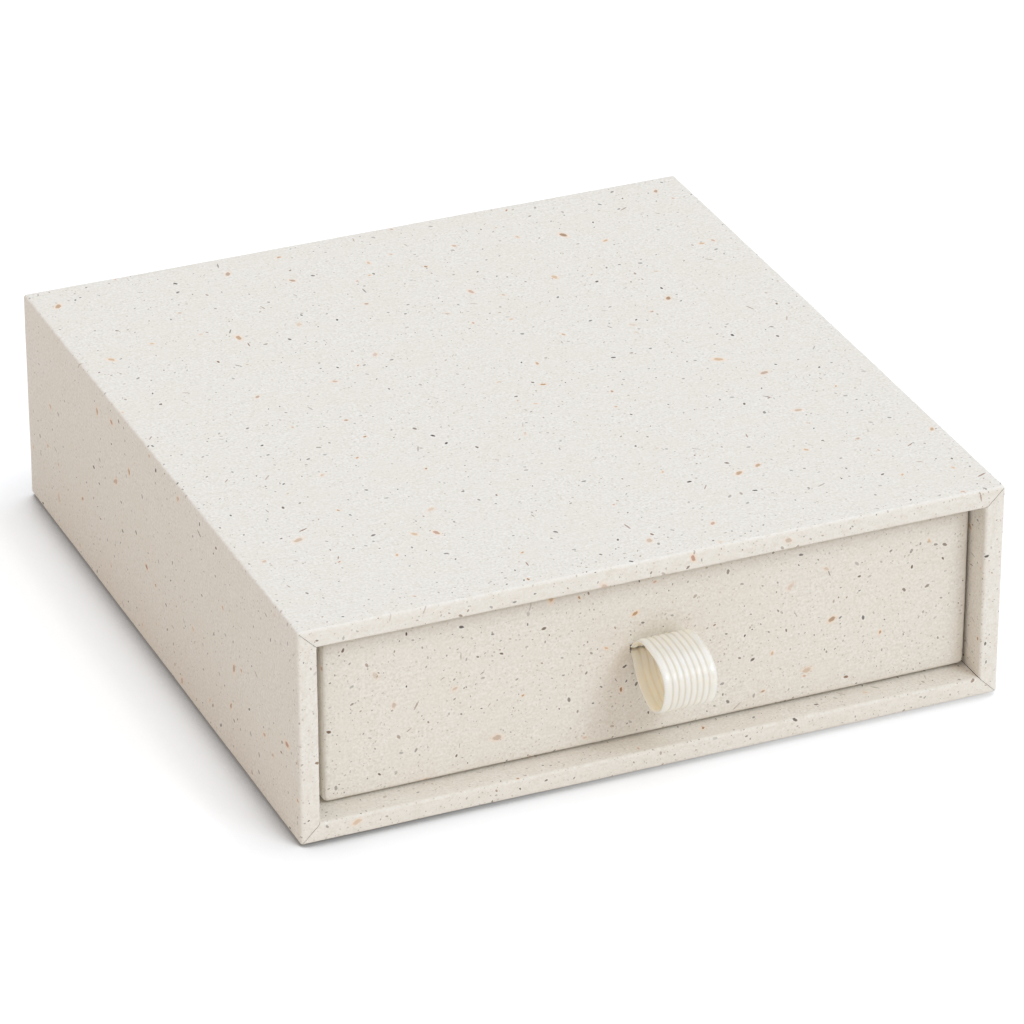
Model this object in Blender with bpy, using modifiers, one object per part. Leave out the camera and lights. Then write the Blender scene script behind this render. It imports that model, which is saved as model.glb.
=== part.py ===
"""Sliding drawer gift box: a board sleeve and a board drawer, wrapped in paper, with a ribbon loop pull.

Lengths are metres and +Z is up. The drawer leaves the sleeve towards -Y. The origin is on the surface
that the box stands on, under the middle of the sleeve.

The sleeve and the drawer are both casings: four mitred boards round a closing board, held by paper tape,
wrapped in one sheet and lined with paper. A casing's own frame has its closed end at z = 0 and its mouth
at +Z.
"""

import math
from collections import namedtuple

import bmesh
import bpy
from mathutils import Matrix

# Papers, glue and tape
PAPER = 0.0002
GLUE = 0.0002
TAPE = 0.0001
TAPE_ARM = 0.009
TAPE_MARGIN = 0.003
CREASE_RADIUS = 0.00006
MITRE_CUT = 0.00012
MITRE_START = 0.00045
SEAM_INSET = 0.010
SHEET_MARGIN = 0.0025
BOARD_JOINT = 0.0002
LINING_JOINT = 0.0003

# Sleeve
SLEEVE_WIDTH = 0.120
SLEEVE_HEIGHT = 0.0375
SLEEVE_LENGTH = 0.1258
SLEEVE_BOARD = 0.0025
SLEEVE_TURN_IN = 0.014
SLEEVE_FLAP = 0.012
SLEEVE_ROUNDING = 0.0005

# Drawer and its running clearances
DRAWER_BOARD = 0.002
DRAWER_TURN_IN = 0.008
DRAWER_ROUNDING = 0.001
DRAWER_RECESS = 0.0045
LEFT_CLEARANCE = 0.0023
RIGHT_CLEARANCE = 0.0004
TOP_CLEARANCE = 0.0023
BOTTOM_CLEARANCE = 0.0004
REAR_CLEARANCE = 0.0004

# Ribbon pull
RIBBON_WIDTH = 0.009
RIBBON_WEB = 0.0003
RIBBON_RIB = 0.0002
RIB_COUNT = 6
SELVEDGE_SHARE = 1.35
RIBBON_GAP = 0.0003
RIBBON_BEND = 0.0006
LOOP_REACH = 0.0129
LOOP_HEIGHT = 0.0100
PULL_OFFSET = 0.00085
PULL_RISE = 0.00185
TAIL_COVER = 0.0015
SLOT_CLEARANCE = 0.0003
PATCH_WIDTH = 0.015
PATCH_MARGIN = 0.003

# One overrun serves every cut
OVERRUN = 0.001

# The widest that a rounded rim may be, in the wall's thickness
RIM_LIMIT_SHARE = 0.45

# Facets, and the angle in degrees over which an edge stays sharp
SHARP_ANGLE = 40
FOLD_STEPS = 4
RIM_STEPS = 4
BEND_STEPS = 4
RIB_STEPS = 3
LOOP_STEPS = 2

# The loop's centre line outside the slot, forward in shares of LOOP_REACH and up in shares of LOOP_HEIGHT
LOOP_SHARES = (
    (0.08, 0.15),
    (0.21, 0.29),
    (0.37, 0.33),
    (0.54, 0.325),
    (0.71, 0.29),
    (0.85, 0.215),
    (0.94, 0.12),
    (0.99, 0.00),
    (1.00, -0.14),
    (0.97, -0.32),
    (0.90, -0.48),
    (0.785, -0.60),
    (0.65, -0.67),
    (0.52, -0.65),
    (0.41, -0.59),
    (0.30, -0.50),
    (0.20, -0.39),
    (0.125, -0.26),
    (0.07, -0.13),
)

SPECKLED_PAPER = ("speckled_paper", (0.80, 0.77, 0.72), 0.85)
LINING_PAPER = ("lining_paper", (0.86, 0.84, 0.80), 0.9)
GREYBOARD = ("greyboard", (0.36, 0.34, 0.31), 0.95)
KRAFT_TAPE = ("kraft_tape", (0.55, 0.40, 0.26), 0.8)
CREAM_RIBBON = ("cream_ribbon", (0.90, 0.86, 0.74), 0.45)

# One paper and the glue under it
SKIN = PAPER + GLUE

RIBBON_THICKNESS = RIBBON_WEB + RIBBON_RIB

# The four walls of a casing, by the direction that each faces in degrees
WALL_TURNS = (0, 90, 180, 270)

Casing = namedtuple("Casing", "name empty width span length board turn_in rounding walls closing")


def clear_scene():
    for old in list(bpy.data.objects):
        bpy.data.objects.remove(old)


def new_collection(name):
    collection = bpy.data.collections.new(name)
    bpy.context.scene.collection.children.link(collection)
    return collection


def material(look):
    name, colour, roughness = look
    made = bpy.data.materials.get(name)
    if made is None:
        made = bpy.data.materials.new(name)
        made.use_nodes = True
        shader = made.node_tree.nodes["Principled BSDF"]
        shader.inputs["Base Color"].default_value = (*colour, 1.0)
        shader.inputs["Roughness"].default_value = roughness
        shader.inputs["Metallic"].default_value = 0.0
    return made


def add(name, data, parent, look, collection):
    """Links data as one sub-part's object, under the empty that carries it."""
    part = bpy.data.objects.new(name, data)
    collection.objects.link(part)
    part.parent = parent
    if look:
        data.materials.append(material(look))
    return part


def add_empty(name, location, rotation, collection):
    empty = bpy.data.objects.new(name, None)
    empty.location = location
    empty.rotation_euler = rotation
    collection.objects.link(empty)
    return empty


def mesh_from(made, name):
    mesh = bpy.data.meshes.new(name)
    made.to_mesh(mesh)
    made.free()
    return mesh


def boxes(name, items):
    """A mesh of boxes, each given as its size, its centre and its turn about z."""
    made = bmesh.new()
    for size, centre, turn in items:
        place = Matrix.Translation(centre) @ Matrix.Rotation(turn, 4, "Z") @ Matrix.Diagonal((*size, 1.0))
        bmesh.ops.create_cube(made, size=1.0, matrix=place)
    return mesh_from(made, name)


def plate(name, low, high, parent, look, collection):
    """A flat rectangular sheet or board between two corners."""
    size = [b - a for a, b in zip(low, high)]
    part = add(name, boxes(name, [(size, (0, 0, 0), 0)]), parent, look, collection)
    part.location = [(a + b) / 2 for a, b in zip(low, high)]
    return part


def extruded(name, outline, low, high, parent, look, collection):
    """A flat outline in the casing's cross-section, extruded along its axis between two levels."""
    curve = bpy.data.curves.new(name, "CURVE")
    curve.dimensions = "2D"
    curve.fill_mode = "BOTH"
    curve.extrude = (high - low) / 2
    spline = curve.splines.new("POLY")
    spline.points.add(len(outline) - 1)
    for point, (x, y) in zip(spline.points, outline):
        point.co = (x, y, 0, 1)
    spline.use_cyclic_u = True
    part = add(name, curve, parent, look, collection)
    part.location = (0, 0, (low + high) / 2)
    return part


def as_mesh(part):
    """Makes a curve object a mesh one with its caps welded, so that it can be cut."""
    bpy.context.view_layer.update()
    graph = bpy.context.evaluated_depsgraph_get()
    mesh = bpy.data.meshes.new_from_object(part.evaluated_get(graph))
    welded = bmesh.new()
    welded.from_mesh(mesh)
    bmesh.ops.remove_doubles(welded, verts=welded.verts, dist=CREASE_RADIUS / 10)
    welded.to_mesh(mesh)
    welded.free()
    name = part.name
    parent = part.parent
    collection = part.users_collection[0]
    place = part.matrix_world.copy()
    bpy.data.objects.remove(part)
    made = bpy.data.objects.new(name, mesh)
    collection.objects.link(made)
    made.parent = parent
    made.matrix_world = place
    return made


def cut(part, cutter):
    modifier = part.modifiers.new("cut_" + cutter.name, "BOOLEAN")
    modifier.operation = "DIFFERENCE"
    modifier.solver = "EXACT"
    modifier.object = cutter


def add_cutter(name, mesh, parent, collection):
    cutter = add(name, mesh, parent, None, collection)
    cutter.hide_render = True
    cutter.display_type = "WIRE"
    return cutter


def smooth(mesh):
    mesh.shade_smooth()
    mesh.set_sharp_from_angle(angle=math.radians(SHARP_ANGLE))


def arc(centre, radius, start, end, steps):
    """Points on an arc in a plane, from one angle to another in degrees."""
    angles = [math.radians(start + (end - start) * step / steps) for step in range(steps + 1)]
    return [(centre[0] + radius * math.cos(a), centre[1] + radius * math.sin(a)) for a in angles]


def turned(points, degrees):
    """Points turned about the origin."""
    sine = math.sin(math.radians(degrees))
    cosine = math.cos(math.radians(degrees))
    return [(x * cosine - y * sine, x * sine + y * cosine) for x, y in points]


def wall(casing):
    """The thickness of a finished wall: board with glue and paper on both faces."""
    return casing.board + 2 * SKIN


def rim_radius(casing):
    return min(casing.rounding, RIM_LIMIT_SHARE * wall(casing))


def clear_of_round(radius):
    """How far from a rounded edge of the wrap a board ends, at least half a glue line off the paper."""
    reach = radius - PAPER - GLUE / 2
    aside = max(radius - SKIN, 0)
    return max(radius - math.sqrt(reach * reach - aside * aside), SKIN)


def corner(rounding, half_width, half_span, inset, start, end, steps):
    """The rounded corner at +x and +y of a cross-section that is drawn in by inset."""
    radius = max(rounding - inset, CREASE_RADIUS)
    centre = (half_width - inset - radius, half_span - inset - radius)
    return arc(centre, radius, start, end, steps)


def half_sizes(casing, turn):
    """Half the casing's size in the direction that a wall faces, and across it."""
    if turn % 180 == 0:
        return casing.width / 2, casing.span / 2
    return casing.span / 2, casing.width / 2


def ring(casing, inset):
    """The casing's rounded cross-section, drawn in by inset, anticlockwise."""
    points = []
    for turn in WALL_TURNS:
        out, across = half_sizes(casing, turn)
        points += turned(corner(casing.rounding, out, across, inset, 0, 90, FOLD_STEPS), turn)
    return points


def ring_solid(name, casing, profile, look, collection, capped=False):
    """A profile of (inset, z) points carried round the casing, closed or with its ends capped."""
    made = bmesh.new()
    loops = []
    for inset, z in profile:
        loops.append([made.verts.new((x, y, z)) for x, y in ring(casing, inset)])
    following = loops[1:] if capped else loops[1:] + loops[:1]
    for here, there in zip(loops, following):
        for index, vertex in enumerate(here):
            made.faces.new((vertex, here[index - 1], there[index - 1], there[index]))
    if capped:
        made.faces.new(loops[0])
        made.faces.new(loops[-1])
    bmesh.ops.recalc_face_normals(made, faces=made.faces)
    mesh = mesh_from(made, name)
    smooth(mesh)
    return add(name, mesh, casing.empty, look, collection)


def wrap_side(casing, depth):
    """One face of the wrap, depth under its outer face, from the turn-in's end to the closed end's fold."""
    rim = rim_radius(casing)
    thick = wall(casing)
    mouth = casing.length
    inner_rim = arc((thick - rim, mouth - rim), rim - depth, 0, 90, RIM_STEPS)
    outer_rim = arc((rim, mouth - rim), rim - depth, 90, 180, RIM_STEPS)
    fold = arc((casing.rounding, casing.rounding), casing.rounding - depth, 180, 270, FOLD_STEPS)
    return [(thick - depth, mouth - casing.turn_in)] + inner_rim + outer_rim + fold


def blade(casing, side_x, side_y, near, far, low, high):
    """A thin box on a corner's diagonal, from near to far under the faces of the two walls."""
    middle = (near + far) / 2
    size = ((far - near) * math.sqrt(2), MITRE_CUT, high - low)
    place = (side_x * (casing.width / 2 - middle), side_y * (casing.span / 2 - middle), (low + high) / 2)
    return size, place, math.radians(45) * side_x * side_y


def corner_blades(casing, near, far, low, high):
    signs = ((1, 1), (-1, 1), (-1, -1), (1, -1))
    return [blade(casing, side_x, side_y, near, far, low, high) for side_x, side_y in signs]


def sleeve_wrap(casing, collection, cutters):
    """One sheet round the walls: mitred turn-ins, flaps over the back, a seam under the base sheet."""
    outer = wrap_side(casing, 0) + [(SLEEVE_FLAP, 0)]
    inner = wrap_side(casing, PAPER) + [(SLEEVE_FLAP, PAPER)]
    sheet = ring_solid("sleeve_wrap", casing, outer + inner[::-1], SPECKLED_PAPER, collection)
    mouth = casing.length
    reach = wall(casing) + OVERRUN
    items = corner_blades(casing, MITRE_START, reach, mouth - casing.turn_in - OVERRUN, mouth + OVERRUN)
    items += corner_blades(casing, MITRE_START, SLEEVE_FLAP + OVERRUN, -OVERRUN, casing.rounding)
    seam_size = (MITRE_CUT, 2 * SKIN, mouth - 2 * SHEET_MARGIN)
    items.append((seam_size, (SEAM_INSET - casing.width / 2, -casing.span / 2, mouth / 2), 0))
    cut(sheet, add_cutter("sleeve_wrap_cuts", boxes("sleeve_wrap_cuts", items), casing.empty, cutters))


def drawer_wrap(casing, collection, cutters):
    """One cross-shaped sheet over the base, up the walls and over the rim, parted at the upright corners."""
    outer = wrap_side(casing, 0)
    inner = wrap_side(casing, PAPER)
    sheet = ring_solid("drawer_wrap", casing, outer[::-1] + inner, SPECKLED_PAPER, collection, capped=True)
    reach = wall(casing) + OVERRUN
    items = corner_blades(casing, -OVERRUN, reach, casing.rounding, casing.length + OVERRUN)
    cut(sheet, add_cutter("drawer_wrap_cuts", boxes("drawer_wrap_cuts", items), casing.empty, cutters))
    return sheet


def boards(casing, collection):
    """Four boards with mitred ends round a closing board. Returns the four by name."""
    low = clear_of_round(casing.rounding)
    high = casing.length - clear_of_round(rim_radius(casing))
    made = {}
    for turn, side in zip(WALL_TURNS, casing.walls):
        out, across = half_sizes(casing, turn)
        half = corner(casing.rounding, out, across - BOARD_JOINT / 2, SKIN, 0, 45, FOLD_STEPS // 2)
        deep = SKIN + casing.board
        half.append((out - deep, across - BOARD_JOINT / 2 - deep))
        outline = turned(half + [(x, -y) for x, y in half[::-1]], turn)
        name = casing.name + "_" + side + "_board"
        made[side] = extruded(name, outline, low, high, casing.empty, GREYBOARD, collection)
    inset = SKIN + casing.board + BOARD_JOINT
    x = casing.width / 2 - inset
    y = casing.span / 2 - inset
    name = casing.name + "_" + casing.closing + "_board"
    plate(name, (-x, -y, SKIN), (x, y, SKIN + casing.board), casing.empty, GREYBOARD, collection)
    return made


def corner_tapes(casing, collection):
    """Stay tape folded over each corner of the boards, half way through the glue line."""
    near = PAPER + (GLUE - TAPE) / 2
    for index, turn in enumerate(WALL_TURNS):
        out, across = half_sizes(casing, turn)
        outside = corner(casing.rounding, out, across, near, 0, 90, FOLD_STEPS)
        inside = corner(casing.rounding, out, across, near + TAPE, 0, 90, FOLD_STEPS)
        outline = [(outside[0][0], across - TAPE_ARM)] + outside + [(out - TAPE_ARM, outside[-1][1])]
        outline += [(out - TAPE_ARM, inside[-1][1])] + inside[::-1] + [(inside[0][0], across - TAPE_ARM)]
        between = (casing.walls[index], casing.walls[(index + 1) % len(WALL_TURNS)])
        name = casing.name + "_" + between[0] + "_" + between[1] + "_tape"
        outline = turned(outline, turn)
        high = casing.length - TAPE_MARGIN
        extruded(name, outline, TAPE_MARGIN, high, casing.empty, KRAFT_TAPE, collection)


def linings(casing, collection, closing):
    """Paper inside the walls, up to the turn-ins, and on the closing board."""
    floor = SKIN + casing.board + GLUE
    thick = wall(casing)
    top = casing.length - casing.turn_in - LINING_JOINT
    profile = [(thick - PAPER, floor), (thick, floor), (thick, top), (thick - PAPER, top)]
    walls = ring_solid(casing.name + "_wall_lining", casing, profile, LINING_PAPER, collection)
    x = casing.width / 2 - thick - LINING_JOINT
    y = casing.span / 2 - thick - LINING_JOINT
    name = casing.name + "_" + closing + "_lining"
    plate(name, (-x, -y, floor), (x, y, floor + PAPER), casing.empty, LINING_PAPER, collection)
    return walls


def sleeve_sheets(casing, collection):
    """The sheets pasted over the back's flaps and over the seam underneath."""
    x = casing.width / 2 - SHEET_MARGIN
    y = casing.span / 2
    low = (-x, SHEET_MARGIN - y, -SKIN)
    high = (x, y - SHEET_MARGIN, -GLUE)
    plate("sleeve_back_sheet", low, high, casing.empty, SPECKLED_PAPER, collection)
    low = (-x, -y - SKIN, SHEET_MARGIN)
    high = (x, -y - GLUE, casing.length - SHEET_MARGIN)
    plate("sleeve_base_sheet", low, high, casing.empty, SPECKLED_PAPER, collection)


def slot_height():
    return 2 * RIBBON_THICKNESS + RIBBON_GAP + 2 * SLOT_CLEARANCE


def slot_level(casing):
    """The slot's height above the drawer's underside."""
    return casing.length / 2 + PULL_RISE


def patch_span(casing):
    """The patch's lowest and highest level, between the floor lining and the rim."""
    return wall(casing) + PATCH_MARGIN, casing.length - PATCH_MARGIN


def cut_slot(casing, parts, cutters):
    """The slot through the drawer's front wall: wrap, board and lining."""
    size = (RIBBON_WIDTH + 2 * SLOT_CLEARANCE, 2 * (wall(casing) + OVERRUN), slot_height())
    centre = (PULL_OFFSET, -casing.span / 2, slot_level(casing))
    cutter = add_cutter("slot_cut", boxes("slot_cut", [(size, centre, 0)]), casing.empty, cutters)
    for part in parts:
        cut(part, cutter)


def smooth_through(points, steps):
    """A smooth line through points, with steps spans between each two."""
    padded = [points[0]] + points + [points[-1]]
    line = []
    for before, here, there, after in zip(padded, padded[1:], padded[2:], padded[3:]):
        for step in range(steps):
            t = step / steps
            line.append(tuple(catmull_rom(*values, t) for values in zip(before, here, there, after)))
    return line + [points[-1]]


def catmull_rom(before, here, there, after, t):
    slope = (there - before) / 2
    bend = before - 5 * here / 2 + 2 * there - after / 2
    turn = 3 * (here - there) / 2 + (after - before) / 2
    return here + slope * t + bend * t * t + turn * t * t * t


def ribbon_line(casing):
    """The ribbon's centre line as (y, z): a tail, out through the slot, the loop, back in, the other tail."""
    face = -casing.span / 2
    slot = slot_level(casing)
    low, high = patch_span(casing)
    tail_y = face + wall(casing) + GLUE + RIBBON_THICKNESS / 2
    run = (RIBBON_GAP + RIBBON_THICKNESS) / 2
    bend_end = run + RIBBON_BEND
    upper_end = high - TAIL_COVER - slot
    lower_end = low + TAIL_COVER - slot
    bend = arc((tail_y - RIBBON_BEND, bend_end), RIBBON_BEND, 0, -90, BEND_STEPS)
    enter = [(tail_y, upper_end), (tail_y, (upper_end + bend_end) / 2)] + bend
    leave = [(y, -z) for y, z in bend[::-1]] + [(tail_y, (lower_end - bend_end) / 2), (tail_y, lower_end)]
    half_run = (bend[-1][0] + face) / 2
    loop = [(face - along * LOOP_REACH, up * LOOP_HEIGHT) for along, up in LOOP_SHARES]
    loop = [(half_run, run), (face, run)] + loop + [(face, -run), (half_run, -run)]
    return [(y, slot + z) for y, z in enter + smooth_through(loop, LOOP_STEPS) + leave]


def ribbon_bands():
    """The ribbon's cross-section as (across, height): a wide selvedge, narrow ribs and a wide selvedge."""
    shares = [SELVEDGE_SHARE] + [1] * RIB_COUNT + [SELVEDGE_SHARE]
    unit = RIBBON_WIDTH / sum(shares)
    points = [(-RIBBON_WIDTH / 2, -RIBBON_RIB / 2)]
    for share in shares:
        start = points[-1][0]
        for step in range(1, RIB_STEPS + 1):
            t = step / RIB_STEPS
            points.append((start + share * unit * t, RIBBON_RIB * (math.sin(math.pi * t) - 0.5)))
    return points


def line_normals(line):
    """Unit vectors square to a line of points, towards the loop's inside."""
    normals = []
    for before, after in zip([line[0]] + line[:-1], line[1:] + [line[-1]]):
        along = (after[0] - before[0], after[1] - before[1])
        length = math.hypot(*along)
        normals.append((-along[1] / length, along[0] / length))
    return normals


def ribbon_pull(casing, collection):
    """A grid bent along the loop, with the bands as its waves, thickened by the ribbon's web."""
    line = ribbon_line(casing)
    normals = line_normals(line)
    bands = ribbon_bands()
    made = bmesh.new()
    across_steps = len(bands) - 1
    along_steps = len(line) - 1
    bmesh.ops.create_grid(made, x_segments=across_steps, y_segments=along_steps, size=1.0)
    for vertex in made.verts:
        across, height = bands[round((vertex.co.x + 1) / 2 * across_steps)]
        index = round((vertex.co.y + 1) / 2 * along_steps)
        y, z = line[index]
        normal = normals[index]
        vertex.co = (PULL_OFFSET + across, y - normal[0] * height, z - normal[1] * height)
    mesh = mesh_from(made, "ribbon_pull")
    smooth(mesh)
    pull = add("ribbon_pull", mesh, casing.empty, CREAM_RIBBON, collection)
    thickness = pull.modifiers.new("web", "SOLIDIFY")
    thickness.thickness = RIBBON_WEB
    thickness.offset = 0
    thickness.use_even_offset = True
    length = sum(math.dist(a, b) for a, b in zip(line, line[1:]))
    print(f"ribbon: {length * 1000:.1f} mm long and {RIBBON_WIDTH * 1000:.1f} mm wide")


def ribbon_anchor_patch(casing, collection):
    """A paper patch moulded over the two tails and down to the lining beside them."""
    low = -casing.span / 2 + wall(casing) + GLUE
    high = low + RIBBON_THICKNESS + GLUE
    crown = RIBBON_WIDTH / 2 + GLUE
    foot = crown + RIBBON_THICKNESS + GLUE
    edge = PATCH_WIDTH / 2
    under = [(edge, low), (foot, low), (crown, high)]
    over = [(crown + PAPER / 2, high + PAPER), (foot + PAPER / 2, low + PAPER), (edge, low + PAPER)]
    mirrored = [(-x, y) for x, y in under[::-1]]
    outline = under + mirrored + [(-x, y) for x, y in over[::-1]] + over
    outline = [(PULL_OFFSET + x, y) for x, y in outline]
    bottom, top = patch_span(casing)
    extruded("ribbon_anchor_patch", outline, bottom, top, casing.empty, LINING_PAPER, collection)


def sleeve(collection, cutters):
    place = (0, SLEEVE_LENGTH / 2, SKIN + SLEEVE_HEIGHT / 2)
    empty = add_empty("sleeve_frame", place, (math.radians(90), 0, 0), collection)
    walls = ("right", "top", "left", "bottom")
    size = (SLEEVE_WIDTH, SLEEVE_HEIGHT, SLEEVE_LENGTH)
    make = (SLEEVE_BOARD, SLEEVE_TURN_IN, SLEEVE_ROUNDING)
    casing = Casing("sleeve", empty, *size, *make, walls, "back")
    boards(casing, collection)
    corner_tapes(casing, collection)
    sleeve_wrap(casing, collection, cutters)
    sleeve_sheets(casing, collection)
    linings(casing, collection, "back")
    return casing


def drawer(sleeve_casing, collection, cutters):
    around = wall(sleeve_casing)
    width = SLEEVE_WIDTH - 2 * around - LEFT_CLEARANCE - RIGHT_CLEARANCE
    height = SLEEVE_HEIGHT - 2 * around - TOP_CLEARANCE - BOTTOM_CLEARANCE
    depth = SLEEVE_LENGTH - around - DRAWER_RECESS - REAR_CLEARANCE
    front = DRAWER_RECESS - SLEEVE_LENGTH / 2
    aside = (LEFT_CLEARANCE - RIGHT_CLEARANCE) / 2
    place = (aside, front + depth / 2, SKIN + around + BOTTOM_CLEARANCE)
    empty = add_empty("drawer_slide", place, (0, 0, 0), collection)
    walls = ("right", "back", "left", "front")
    make = (DRAWER_BOARD, DRAWER_TURN_IN, DRAWER_ROUNDING)
    casing = Casing("drawer", empty, width, depth, height, *make, walls, "base")
    side_boards = boards(casing, collection)
    corner_tapes(casing, collection)
    wrap = drawer_wrap(casing, collection, cutters)
    lining = linings(casing, collection, "floor")
    front_board = as_mesh(side_boards["front"])
    cut_slot(casing, (wrap, front_board, lining), cutters)
    ribbon_pull(casing, collection)
    ribbon_anchor_patch(casing, collection)


def main():
    clear_scene()
    collection = new_collection("sliding_drawer_gift_box")
    cutters = new_collection("cutters")
    drawer(sleeve(collection, cutters), collection, cutters)


main()
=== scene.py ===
import math
from collections import namedtuple

import bmesh
import bpy
from mathutils import Matrix, Vector, noise


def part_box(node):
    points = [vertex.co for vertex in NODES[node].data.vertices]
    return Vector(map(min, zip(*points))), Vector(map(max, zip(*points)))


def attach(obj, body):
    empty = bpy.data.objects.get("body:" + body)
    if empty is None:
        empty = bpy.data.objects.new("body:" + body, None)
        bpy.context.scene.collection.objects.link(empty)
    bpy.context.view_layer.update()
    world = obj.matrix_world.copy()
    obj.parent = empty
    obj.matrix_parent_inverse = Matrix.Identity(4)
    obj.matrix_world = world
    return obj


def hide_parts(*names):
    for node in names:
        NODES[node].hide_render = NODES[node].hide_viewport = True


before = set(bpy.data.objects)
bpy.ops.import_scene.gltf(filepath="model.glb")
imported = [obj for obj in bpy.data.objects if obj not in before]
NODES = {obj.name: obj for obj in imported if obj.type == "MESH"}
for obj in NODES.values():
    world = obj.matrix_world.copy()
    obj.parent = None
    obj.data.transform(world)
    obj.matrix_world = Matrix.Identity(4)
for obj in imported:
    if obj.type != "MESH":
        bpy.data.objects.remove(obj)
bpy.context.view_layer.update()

# Paper and folds of the two wraps, in metres
PAPER = 0.0002
SLEEVE_ROUNDING = 0.0005
DRAWER_ROUNDING = 0.001
RIM_LIMIT_SHARE = 0.45
SLEEVE_TURN_IN = 0.014
SLEEVE_FLAP = 0.012
DRAWER_TURN_IN = 0.008
SLEEVE_CUT = 0.00006
DRAWER_CUT = 0.00002
MITRE_START = 0.0002
WELD_DISTANCE = 0.000002

# How high the cut's lapped lip stands, column by column from the cut
LIP_HEIGHTS = (0.00003, 0.00006, 0.00004, 0.00001)

# Slight waves of the pasted paper, and those along its folds
WAVE_LENGTH = 0.022
SLEEVE_WAVE = 0.00007
DRAWER_WAVE = 0.00003
EDGE_WAVE_LENGTH = 0.009
EDGE_WAVE = 0.00003

# Facets, the share of a fold that counts as creased, and the angles over which an edge stays sharp
GRID_SPACING = 0.0022
CORNER_COLUMNS = 6
ARC_STEPS = 7
CREASED_SHARE = 0.95
SHARP_ANGLE = 40
RIBBON_SHARP_ANGLE = 75

# Ribbon, in metres
RIBBON_WIDTH = 0.009
RIBBON_GAP = 0.0003
RIBBON_THICKNESS = 0.0005
RIBBON_GROOVE = 0.00009
RIBBON_BEND = 0.0006
RIB_COUNT = 6
SELVEDGE_SHARE = 1.35
RIB_FULLNESS = 0.8
EDGE_SHARE = 1 / 3
RIB_STEPS = 8
LOOP_STEPS = 8
LOOP_REACH = 0.0129
LOOP_HEIGHT = 0.0100
TAIL_COVER = 0.0015
PULL_RISE = 0.00185
BEND_STEPS = 8
GLUE = 0.0002

# The paper's slot is slit closer to the ribbon than the board's slot behind it
SLOT_CLEARANCE = 0.00008

# The loop's centre line outside the slot, forward in shares of LOOP_REACH and up in shares of LOOP_HEIGHT
LOOP_SHARES = (
    (0.08, 0.15),
    (0.21, 0.29),
    (0.37, 0.33),
    (0.54, 0.325),
    (0.71, 0.29),
    (0.85, 0.215),
    (0.94, 0.12),
    (0.99, 0.00),
    (1.00, -0.14),
    (0.97, -0.32),
    (0.90, -0.48),
    (0.785, -0.60),
    (0.65, -0.67),
    (0.52, -0.65),
    (0.41, -0.59),
    (0.30, -0.50),
    (0.20, -0.39),
    (0.125, -0.26),
    (0.07, -0.13),
)

# Names of the layers that the wraps and the ribbon carry for their materials
SHEET_UV = "sheet"
FOLD_MARK = "fold"
LIFT_MARK = "lift"

# Speckled paper: how big its mottling, tint, fibres and grain are, and its relief's depth
MOTTLE_SIZE = 0.009
TINT_SIZE = 0.005
FIBRE_SIZE = 0.0011
GRAIN_SIZE = 0.00046
PAPER_RELIEF = 0.00003

# Flecks on the sleeve's sheet go from thin to full just before its mouth. Both places are measured from the
# flap's edge, as what they lie beyond the sleeve's own length.
FULL_FLECKS_FROM = 0.006
FULL_FLECKS_AT = 0.010
THIN_FLECKS = 0.58

# How flecks vary about their own size and strength, and how wide and how uneven their clumps are
SMALLEST_FLECK = 0.55
FLECK_SIZE_SPAN = 1.1
FAINTEST_FLECK = 0.3
CLUMP_CELLS = 2.6
CLUMP_THIN = 0.35
CLUMP_THICK = 1.65

# Shifts that give each layer of flecks and each speckled sheet its own scatter
LAYER_SHIFT = 0.017
DRAWER_SHIFT = 0.31
BACK_SHIFT = 0.53
BASE_SHIFT = 0.71

# Plain papers, board and tape: their blotches, fibres and relief
PULP_SIZE = 0.006
RAW_FIBRE = 0.0005
LINING_FIBRE = 0.0007
PLAIN_RELIEF = 0.00004
BOARD_PULP = 0.004
BOARD_PALE_FIBRE = 0.0012
BOARD_DARK_FIBRE = 0.0009
BOARD_RELIEF = 0.00006
TAPE_FIBRE = 0.0010
TAPE_RELIEF = 0.00003

# Satin: its threads' spacing, how far they wander and over what length, its sheen's streaks, painted into
# its colour as darker streaks and set in its roughness, and its relief
THREAD_SPACING = 0.00034
THREAD_WANDER = 0.00025
WANDER_LENGTH = 0.0016
SHEEN_SIZE = 0.0009
SATIN_RELIEF = 0.00002

# Camera: its place in metres, its turn in degrees, and its lens and sensor in millimetres
CAMERA_PLACE = (-0.34123, -0.80113, 0.48431)
CAMERA_TURN = (61.669, 0.0, -23.207)
CAMERA_LENS = 211.41
SENSOR = 36.0
CAMERA_END = 20.0

# Light: where each lamp shines from, its strength, its breadth in degrees and its colour
WORLD_LIGHT = (0.735, 0.685, 0.662)
LAMPS = {
    "front": ((0.38, -0.67, 0.64), 1.09, 22, (0.78, 0.89, 0.99)),
    "overhead": ((0.30, 0.08, 0.95), 0.43, 50, (0.52, 0.72, 1.00)),
    "right": ((0.60, 0.35, 0.72), 0.50, 35, (0.45, 0.74, 1.00)),
}

# Floor: its colour to bounced light, and how straight views mix its lit shade with a tight contact shadow
FLOOR_HALF = 4.0
FLOOR_DROP = 0.00005
FLOOR_BOUNCE = (0.85, 0.82, 0.78)
FLOOR_LIT_SHARE = 0.4
OPEN_SHADE = 0.72
CONTACT_REACH = 0.012
CONTACT_SHADES = (
    (0.50, 0.06),
    (0.55, 0.22),
    (0.605, 0.42),
    (0.708, 0.525),
    (0.80, 0.58),
    (0.895, 0.62),
    (1.0, OPEN_SHADE),
)
CONTACT_FADE = 0.35

# The walls' turns about a casing's own axis, in degrees, and the drawer's front among them
WALL_TURNS = (0, 90, 180, 270)
FRONT_TURN = 270

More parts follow.
